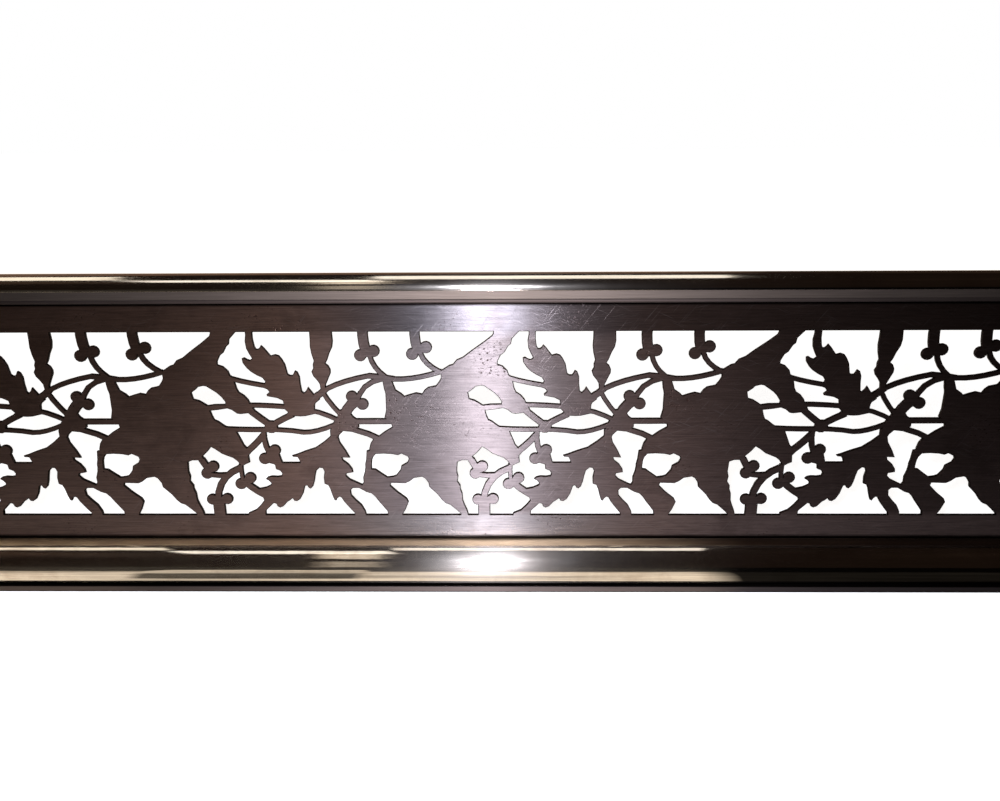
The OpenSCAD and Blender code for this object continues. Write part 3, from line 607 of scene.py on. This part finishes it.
def makeRolledSteel():
    # steel sheet rolled into mouldings, their rounds rubbed to nearly a mirror along their length,
    # the flat band duller, the lip and plinth dark with old polish and painted shade, painted
    # shade in the neck and at the foot, and on the flat top towards the right
    look = rolledSteel
    finish, tree, out, place = newFinish("polished_rolled_steel")
    parts = addNode(tree, "SeparateXYZ", {0: place}).outputs
    height = parts["Z"]

    pattern = {}
    for name, scale, detail, roughness in (
        ("grain", (40, 40, 1700), 3.0, 0.6),  # 0.6 mm across and 25 mm long
        ("cloudy", (34, 34, 34), 4.0, 0.6),   # tarnish in patches of 30 mm
        ("wave", (7, 7, 40), 2.0, 0.5),       # 25 mm across and 140 mm long
    ):
        scaled = addNode(tree, "Mapping", {0: place, "Scale": scale})
        pattern[name] = addNode(tree, "TexNoise", {
            0: scaled.outputs[0], "Scale": 1.0, "Detail": detail, "Roughness": roughness,
        }).outputs[0]

    # bands of the sections by height, 0 at the first measure and 1 at the second
    mask = {}
    for name, none, full in (
        ("foot", 0.0009, 0.0004),
        ("neckLow", 0.0033, 0.0037),
        ("neckHigh", 0.0052, 0.0048),
        ("plinth", 0.0046, 0.0036),
        ("ledge", ledgeHeight - 0.0017, ledgeHeight - 0.0011),
        ("rail", railHeight - 0.02, railHeight),
        ("fasciaLow", railHeight - 0.004, railHeight - 0.003),
        ("fasciaHigh", railHeight + 0.0072, railHeight + 0.0066),
        ("lipHigh", railHeight + 0.0026, railHeight + 0.0016),
    ):
        mask[name] = addNode(tree, "MapRange", {0: height, 1: none, 2: full}).outputs[0]
    for name, first, second, how in (
        ("neck", "neckLow", "neckHigh", "MULTIPLY"),
        ("fascia", "fasciaLow", "fasciaHigh", "MULTIPLY"),
        ("lip", "fasciaLow", "lipHigh", "MULTIPLY"),
        ("flat", "fascia", "plinth", "MAXIMUM"),
        ("shoulder", "ledge", "rail", "SUBTRACT"),
    ):
        mask[name] = addNode(
            tree, "Math", {0: mask[first], 1: mask[second]}, operation=how,
            use_clamp=how == "SUBTRACT",
        ).outputs[0]
    # painted shade on the flat top of the base moulding, full at the right
    shadedRight = addNode(
        tree, "MapRange", {0: parts["X"], 1: look["shadedRight"][0], 2: look["shadedRight"][1]},
        interpolation_type="SMOOTHSTEP",
    ).outputs[0]
    # values that slide from one to another
    slide = {}
    for name, measure, none, full, start, end in (
        ("tarnish", pattern["cloudy"], 0.50, 0.80, 0.0, 0.5),
        ("grainTone", pattern["grain"], 0.3, 0.7, *look["grainTone"]),
        ("polish", pattern["cloudy"], 0.3, 0.7, *look["polish"]),
        ("scuffShare", mask["rail"], 0.0, 1.0, *look["scuffShare"]),
    ):
        slide[name] = addNode(
            tree, "MapRange", {0: measure, 1: none, 2: full, 3: start, 4: end},
        ).outputs[0]

    shoulder = layColours(
        tree, linearColour(look["shoulder"]), [(shadedRight, look["shoulderRight"])],
    )
    body = layColours(tree, linearColour(look["clean"]), [
        (slide["tarnish"], look["tarnish"]), (mask["shoulder"], shoulder),
        (mask["fascia"], look["fascia"]), (mask["lip"], look["lip"]),
        (mask["plinth"], look["plinth"]), (mask["neck"], look["creaseShade"]),
        (mask["foot"], look["creaseShade"]),
    ])
    colour = addNode(
        tree, "Mix", {0: 1.0, 6: body, 7: slide["grainTone"]}, data_type="RGBA",
        blend_type="MULTIPLY",
    ).outputs[2]
    rough = slide["polish"]
    for band, more in (("rail", "railMore"), ("flat", "flatMore"), ("shoulder", "shoulderMore")):
        rough = addNode(
            tree, "Math", {0: mask[band], 1: look[more], 2: rough}, operation="MULTIPLY_ADD",
        ).outputs[0]
    relief = addNode(
        tree, "Math", {0: pattern["wave"], 1: look["waves"], 2: pattern["grain"]},
        operation="MULTIPLY_ADD",
    ).outputs[0]
    bump = addNode(
        tree, "Bump", {"Strength": 0.3, "Distance": look["relief"] * mm, "Height": relief},
    ).outputs[0]
    across = addNode(tree, "CombineXYZ", {0: 0.01, 1: 0.02, 2: 1.0}).outputs[0]  # over the grain
    mirror = addNode(tree, "BsdfPrincipled", {
        "Base Color": colour, "Metallic": 1.0, "Roughness": rough, "Anisotropic": 0.5,
        "Tangent": across, "Normal": bump,
    }).outputs[0]
    scuffed = addNode(tree, "BsdfPrincipled", {
        "Base Color": colour, "Metallic": 1.0, "Roughness": look["scuffed"], "Anisotropic": 0.98,
        "Tangent": across, "Normal": bump,
    }).outputs[0]
    # the rail keeps a cleaner polish than the base moulding, which shoes and tongs touch
    both = addNode(tree, "MixShader", {0: slide["scuffShare"], 1: mirror, 2: scuffed})
    tree.links.new(both.outputs[0], out.inputs[0])
    return finish


blackedIron = {
    "polish": "#2c2a29",
    "worn": "#4b4643",
    "rust": "#3b2a20",
    "roughness": (0.62, 0.46),  # under the polish, and where it has worn
    "relief": 0.15,             # depth of the scale, mm
}


def makeBlackedIron():
    # sheet iron rubbed with stove polish: a dull black with a grey sheen where it has worn, in
    # patches of 45 mm, and specks of rust some 2 mm wide
    look = blackedIron
    finish, tree, out, place = newFinish("blacked_sheet_iron")
    cloudy = addNode(
        tree, "TexNoise", {0: place, "Scale": 22.0, "Detail": 6.0, "Roughness": 0.65},
    ).outputs[0]
    speck = addNode(tree, "TexNoise", {0: place, "Scale": 420.0, "Detail": 3.0}).outputs[0]
    worn = addNode(tree, "MapRange", {0: cloudy, 1: 0.42, 2: 0.70}).outputs[0]
    rusty = addNode(tree, "MapRange", {0: speck, 1: 0.60, 2: 0.72, 4: 0.6}).outputs[0]
    colour = layColours(tree, linearColour(look["polish"]), [
        (worn, look["worn"]), (rusty, look["rust"]),
    ])
    rough = addNode(tree, "MapRange", {
        0: cloudy, 1: 0.3, 2: 0.7, 3: look["roughness"][0], 4: look["roughness"][1],
    }).outputs[0]
    bump = addNode(
        tree, "Bump", {"Strength": 0.3, "Distance": look["relief"] * mm, "Height": speck},
    ).outputs[0]
    skin = addNode(tree, "BsdfPrincipled", {
        "Base Color": colour, "Metallic": 0.6, "Roughness": rough, "Normal": bump,
    })
    tree.links.new(skin.outputs[0], out.inputs[0])
    return finish


# relief is the depth of the mottle, mm
smallSteel = {
    "forged_rivet_steel": {
        "body": "#77706b", "dark": "#3d332c", "roughness": (0.42, 0.67), "relief": 0.08,
    },
    "oiled_screw_steel": {
        "body": "#625c58", "dark": "#3a2a20", "roughness": (0.38, 0.63), "relief": 0.08,
    },
}


def makeSmallSteel(name):
    # forged or turned steel, oiled and browned where hands don't reach, mottled every 2 mm
    look = smallSteel[name]
    finish, tree, out, place = newFinish(name)
    mottle = addNode(tree, "TexNoise", {0: place, "Scale": 500.0, "Detail": 4.0}).outputs[0]
    aged = addNode(tree, "MapRange", {0: mottle, 1: 0.40, 2: 0.66}).outputs[0]
    colour = layColours(tree, linearColour(look["body"]), [(aged, look["dark"])])
    rough = addNode(tree, "MapRange", {
        0: mottle, 1: 0.3, 2: 0.7, 3: look["roughness"][0], 4: look["roughness"][1],
    }).outputs[0]
    bump = addNode(
        tree, "Bump", {"Strength": 0.4, "Distance": look["relief"] * mm, "Height": mottle},
    ).outputs[0]
    skin = addNode(tree, "BsdfPrincipled", {
        "Base Color": colour, "Metallic": 1.0, "Roughness": rough, "Normal": bump,
    })
    tree.links.new(skin.outputs[0], out.inputs[0])
    return finish


sheetFinish = makeSheetSteel()
edgeFinish = makeCutEdge()
rolledFinish = makeRolledSteel()
ironFinish = makeBlackedIron()
rivetFinish = makeSmallSteel("forged_rivet_steel")
screwFinish = makeSmallSteel("oiled_screw_steel")
print("finishes made")

for side in ("front", "left", "right"):
    makeBaseMoulding(side, rolledFinish)
    makeTopRail(side, rolledFinish)
    makePanel(side, sheetFinish, edgeFinish)
    for part in ("base_angle", "floor_plate"):
        makeSoftened(side, part, ironFinish)
print("mouldings, panels, angles and plates made")

for side in ("left", "right"):
    for part in ("joint_plate", "corner_angle"):
        makeSoftened(side, part, ironFinish)
    for part in ("end_stile", "rail_cap", "base_cap"):
        makeSoftened(side, part, rolledFinish)
print("corners, stiles and caps made")

for finish, fixings in (
    (rivetFinish, ("rail_rivets", "base_rivets", "corner_rivets", "stile_rivets", "joint_rivets")),
    (screwFinish, ("floor_screws", "floor_nuts")),
):
    for node in fixings:
        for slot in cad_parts[node].material_slots:
            slot.material = finish
print("rivets, screws and nuts finished")


studio = {
    "floorHalf": 40.0,  # half of the floor's side, m
    "nearGlow": 0.86,   # white the floor shows the camera beside the fender, where its shadow lies
    "glowReach": 0.35,  # how far out that is pure white, m
    "warmth": "#fff1dc",
    "room": 0.012,      # how bright metal sees the room in front of the fender
    "walls": 0.19,      # and at its sides and back
    "roomColour": "#ffcbac",
    "lit": 1.45,        # how bright metal sees the strip of floor beside the fender
    "stripWidth": 0.028,
    "stripFade": 0.012,
    "beyond": 0.06,     # how bright it sees the floor past that strip
    "uneven": (0.45, 1.0),  # the dark and the bright streaks of that floor
    "shaded": 0.012,    # what is left of its light in front at the right
    "hearth": 0.9,      # how bright it sees the floor behind the front
    "horizon": 1.0,     # how bright the walls at the sides and back are near the floor
}

# painted shade that only metal sees, in the floor in front, left of the middle: a brown patch
# beside the fender, and the floor lit past its edge; each pair is where an edge starts and is
# full, across and outwards, m
shadePatch = {
    "left": (-0.196, -0.186),
    "right": (-0.054, -0.062),
    "near": (0.0035, 0.0055),
    "far": (0.026, 0.019),
    "patchLight": 0.16,    # what is left of the floor's light on it
    "litPast": 0.022,   # how much farther out the lit strip goes there, m
}


def makeFloor():
    # pale floor: white to the camera, and light and shade of a room's floor to the metal
    bm = bmesh.new()
    bmesh.ops.create_grid(bm, x_segments=1, y_segments=1, size=studio["floorHalf"])
    mesh = bpy.data.meshes.new("studioFloor")
    bm.to_mesh(mesh)
    bm.free()
    floor = bpy.data.objects.new("studioFloor", mesh)
    bpy.context.collection.objects.link(floor)
    finish, tree, out, place = newFinish("pale_studio_floor")
    path = addNode(tree, "LightPath").outputs
    metal = addNode(
        tree, "Math", {0: path["Is Glossy Ray"], 1: path["Is Transmission Ray"]},
        operation="MAXIMUM",
    ).outputs[0]
    parts = addNode(tree, "SeparateXYZ", {0: place}).outputs
    # distance from the fender's outline
    squares = []
    for part, reach in (("X", cadHigh.x), ("Y", cadHigh.y)):
        far = addNode(tree, "Math", {0: parts[part]}, operation="ABSOLUTE").outputs[0]
        past = addNode(tree, "Math", {0: far, 1: reach}, operation="SUBTRACT").outputs[0]
        outside = addNode(tree, "Math", {0: past, 1: 0.0}, operation="MAXIMUM").outputs[0]
        squares.append(addNode(tree, "Math", {0: outside, 1: 2.0}, operation="POWER").outputs[0])
    both = addNode(tree, "Math", {0: squares[0], 1: squares[1]}, operation="ADD").outputs[0]
    away = addNode(tree, "Math", {0: both}, operation="SQRT").outputs[0]

    # masks, 0 at the first measure and 1 at the second
    mask = {}
    for name, measure, none, full in (
        ("patchLeft", parts["X"], *shadePatch["left"]),
        ("patchRight", parts["X"], *shadePatch["right"]),
        ("patchNear", away, *shadePatch["near"]),
        ("patchFar", away, *shadePatch["far"]),
        ("outside", away, 0.0, 0.0004),
        ("rightward", parts["X"], 0.140, 0.165),
        ("forward", parts["Y"], -0.13, -0.17),
        ("hearth", parts["Y"], sheetFace + 0.06, sheetFace + 0.10),
    ):
        mask[name] = addNode(tree, "MapRange", {0: measure, 1: none, 2: full}).outputs[0]
    for name, first, second in (
        ("patchWide", "patchLeft", "patchRight"),
        ("patchDeep", "patchNear", "patchFar"),
        ("onPatch", "patchWide", "patchDeep"),
        ("shade", "rightward", "forward"),
    ):
        mask[name] = addNode(
            tree, "Math", {0: mask[first], 1: mask[second]}, operation="MULTIPLY",
        ).outputs[0]
    nearer = addNode(
        tree, "Math", {0: mask["patchWide"], 1: -shadePatch["litPast"], 2: away},
        operation="MULTIPLY_ADD",
    ).outputs[0]
    edge = addNode(tree, "MapRange", {
        0: nearer, 1: studio["stripWidth"] + studio["stripFade"], 2: studio["stripWidth"],
    }).outputs[0]
    strip = addNode(tree, "Math", {0: edge, 1: mask["outside"]}, operation="MULTIPLY").outputs[0]
    streak = addNode(tree, "Mapping", {0: place, "Scale": (5, 110, 1)}).outputs[0]
    streaky = addNode(tree, "TexNoise", {0: streak, "Scale": 1.0, "Detail": 2.0}).outputs[0]
    # how bright metal sees each part of the floor
    level = {}
    for name, measure, none, full, start, end in (
        ("bare", strip, 0.0, 1.0, studio["beyond"], studio["lit"]),
        ("patchLight", mask["onPatch"], 0.0, 1.0, 1.0, shadePatch["patchLight"]),
        ("uneven", streaky, 0.35, 0.62, *studio["uneven"]),
        ("unshaded", mask["shade"], 0.0, 1.0, 1.0, studio["shaded"]),
    ):
        level[name] = addNode(
            tree, "MapRange", {0: measure, 1: none, 2: full, 3: start, 4: end},
        ).outputs[0]
    pool = addNode(
        tree, "Math", {0: level["bare"], 1: level["patchLight"]}, operation="MULTIPLY",
    ).outputs[0]
    seen = addNode(tree, "Mix", {0: mask["hearth"], 2: pool, 3: studio["hearth"]}).outputs[0]
    for factor in (level["uneven"], level["unshaded"], metal):
        seen = addNode(tree, "Math", {0: seen, 1: factor}, operation="MULTIPLY").outputs[0]
    # what the camera sees: white, a little lower beside the fender so that its shadow shows
    white = addNode(
        tree, "MapRange", {0: away, 1: 0.0, 2: studio["glowReach"], 3: studio["nearGlow"], 4: 1.0},
        interpolation_type="SMOOTHSTEP",
    ).outputs[0]
    shown = addNode(
        tree, "Math", {0: path["Is Camera Ray"], 1: white}, operation="MULTIPLY",
    ).outputs[0]
    strength = addNode(tree, "Math", {0: seen, 1: shown}, operation="ADD").outputs[0]
    tint = layColours(tree, (1, 1, 1, 1), [(metal, studio["warmth"])])
    glow = addNode(tree, "Emission", {0: tint, 1: strength}).outputs[0]
    matt = addNode(tree, "BsdfDiffuse", {0: (0.5, 0.5, 0.5, 1)}).outputs[0]
    dark = addNode(tree, "BsdfDiffuse", {0: (0, 0, 0, 1)}).outputs[0]
    surface = addNode(tree, "MixShader", {0: metal, 1: matt, 2: dark}).outputs[0]
    whole = addNode(tree, "AddShader", {0: surface, 1: glow})
    tree.links.new(whole.outputs[0], out.inputs[0])
    mesh.materials.append(finish)


# a tall narrow window with one glazing bar, in front and to the left
window = {
    "across": (-0.225, -0.158),  # its sides, as the X of the way to them
    "panes": ((0.0, 0.42, 0.55), (0.60, 0.88, 1.2)),  # foot and head as its Z, and brightness
    "blur": 0.006,
}


def makeWorld():
    # white to the camera; a warm dim room in metal, lighter at the sides and back
    world = bpy.data.worlds.new("studioWorld")
    bpy.context.scene.world = world
    world.use_nodes = True
    tree = world.node_tree
    tree.nodes.clear()
    path = addNode(tree, "LightPath").outputs
    way = addNode(tree, "TexCoord").outputs["Generated"]
    parts = addNode(tree, "SeparateXYZ", {0: way}).outputs
    # masks, 0 at the first measure and 1 at the second
    mask = {"behind": addNode(
        tree, "MapRange", {0: parts["Y"], 1: -0.70, 2: 0.0}, interpolation_type="SMOOTHSTEP",
    ).outputs[0]}
    for name, part, none, full in (
        ("low", "Z", 0.82, 0.72),
        ("doorLeft", "X", 0.20, 0.30),   # a dark doorway to the right
        ("doorRight", "X", 0.72, 0.62),
        ("facing", "Y", -0.20, -0.30),
        ("back", "Y", -0.1, 0.2),
        ("nearFloor", "Z", 0.27, 0.16),
    ):
        mask[name] = addNode(tree, "MapRange", {0: parts[part], 1: none, 2: full}).outputs[0]
    for name, first, second in (
        ("walls", "behind", "low"), ("door", "doorLeft", "doorRight"),
        ("horizon", "back", "nearFloor"),
    ):
        mask[name] = addNode(
            tree, "Math", {0: mask[first], 1: mask[second]}, operation="MULTIPLY",
        ).outputs[0]
    shut = addNode(tree, "MapRange", {0: mask["door"], 3: 1.0, 4: 0.1}).outputs[0]
    wall = addNode(tree, "Math", {0: mask["walls"], 1: shut}, operation="MULTIPLY").outputs[0]
    level = addNode(
        tree, "MapRange", {0: wall, 3: studio["room"], 4: studio["walls"]},
    ).outputs[0]
    # the window, and a pale band along the foot of the walls at the sides and back
    bright = addNode(
        tree, "Math", {0: mask["horizon"], 1: studio["horizon"]}, operation="MULTIPLY",
    ).outputs[0]
    for foot, head, pane in window["panes"]:
        edges = []
        for part, (start, stop) in (("X", window["across"]), ("Z", (foot, head))):
            edges += [(part, start, window["blur"]), (part, stop, -window["blur"])]
        for part, edge, blur in edges:
            step = addNode(
                tree, "MapRange", {0: parts[part], 1: edge - blur, 2: edge + blur},
            ).outputs[0]
            pane = addNode(tree, "Math", {0: step, 1: pane}, operation="MULTIPLY").outputs[0]
        bright = addNode(
            tree, "Math", {0: pane, 1: mask["facing"], 2: bright}, operation="MULTIPLY_ADD",
        ).outputs[0]
    walls = addNode(tree, "Background", {0: linearColour(studio["roomColour"]), 1: level})
    panes = addNode(tree, "Background", {0: linearColour(studio["warmth"]), 1: bright})
    room = addNode(tree, "AddShader", {0: walls.outputs[0], 1: panes.outputs[0]}).outputs[0]
    white = addNode(tree, "Background", {0: (1, 1, 1, 1), 1: 1.0}).outputs[0]
    mix = addNode(tree, "MixShader", {0: path["Is Camera Ray"], 1: room, 2: white})
    end = addNode(tree, "OutputWorld")
    tree.links.new(mix.outputs[0], end.inputs[0])


lamps = {
    "flashLamp": {
        "place": (0.0086, sheetFace - 0.4229, 0.269), "target": (0.0086, sheetFace, 0.05),
        "size": (0.028, 0.024), "watts": 5.7, "colour": "#e9eeff",
    },
    "bounceLamp": {
        "place": (0.0086, sheetFace - 0.40, 0.05), "target": (0.0086, sheetFace, 0.08),
        "size": (0.036, 0.08), "watts": 2.0, "colour": "#efeaf6",
    },
    "ceilingLampA": {
        "place": (0.0985, sheetFace + 0.02, 1.05), "target": (0.0985, sheetFace + 0.02, 0),
        "size": (0.565, 0.50), "watts": 1.58, "colour": "#fffaf2",
    },
    "ceilingLampB": {
        "place": (-0.39, sheetFace - 0.42, 1.0), "target": (-0.39, sheetFace - 0.42, 0),
        "size": (0.40, 0.28), "watts": 0.68, "colour": "#fffaf2",
    },
    "ceilingLampC": {
        "place": (-0.95, sheetFace + 0.02, 1.05), "target": (-0.95, sheetFace + 0.02, 0),
        "size": (0.70, 0.50), "watts": 1.95, "colour": "#fff6e6",
    },
}


def makeLamps():
    for name, kind in lamps.items():
        lamp = bpy.data.lights.new(name, "AREA")
        lamp.shape = "RECTANGLE"
        lamp.size, lamp.size_y = kind["size"]
        lamp.energy = kind["watts"]
        lamp.color = linearColour(kind["colour"])[:3]
        holder = bpy.data.objects.new(name, lamp)
        holder.location = kind["place"]
        aim = Vector(kind["target"]) - Vector(kind["place"])
        holder.rotation_euler = aim.to_track_quat("-Z", "Y").to_euler()
        holder.visible_camera = False
        bpy.context.collection.objects.link(holder)


shot = {
    "target": (0.0254, sheetFace, 0.110),
    "back": 0.4216,
    "up": 0.1329,
    "turn": 0.8,         # round to the right, degrees
    "roll": -0.34,
    "lens": 29.09,       # on a sensor of this width, mm
    "sensor": 36,
    "clip": (0.02, 50),  # m
}


def makeCamera():
    camera = bpy.data.cameras.new("photographCamera")
    camera.sensor_fit = "HORIZONTAL"
    camera.sensor_width = shot["sensor"]
    camera.lens = shot["lens"]
    camera.clip_start, camera.clip_end = shot["clip"]
    holder = bpy.data.objects.new("photographCamera", camera)
    turn = Matrix.Rotation(math.radians(shot["turn"]), 3, "Z")
    roll = Matrix.Rotation(math.radians(shot["roll"]), 3, "Z")
    offset = turn @ Vector((0, -shot["back"], shot["up"]))
    holder.location = Vector(shot["target"]) + offset
    aim = (-offset).to_track_quat("-Z", "Y").to_matrix()
    holder.rotation_euler = (aim @ roll).to_euler()
    bpy.context.collection.objects.link(holder)
    bpy.context.scene.camera = holder


makeFloor()
makeWorld()
makeLamps()
makeCamera()
bpy.context.scene.view_settings.view_transform = "Standard"
print("floor, lamps and camera set")
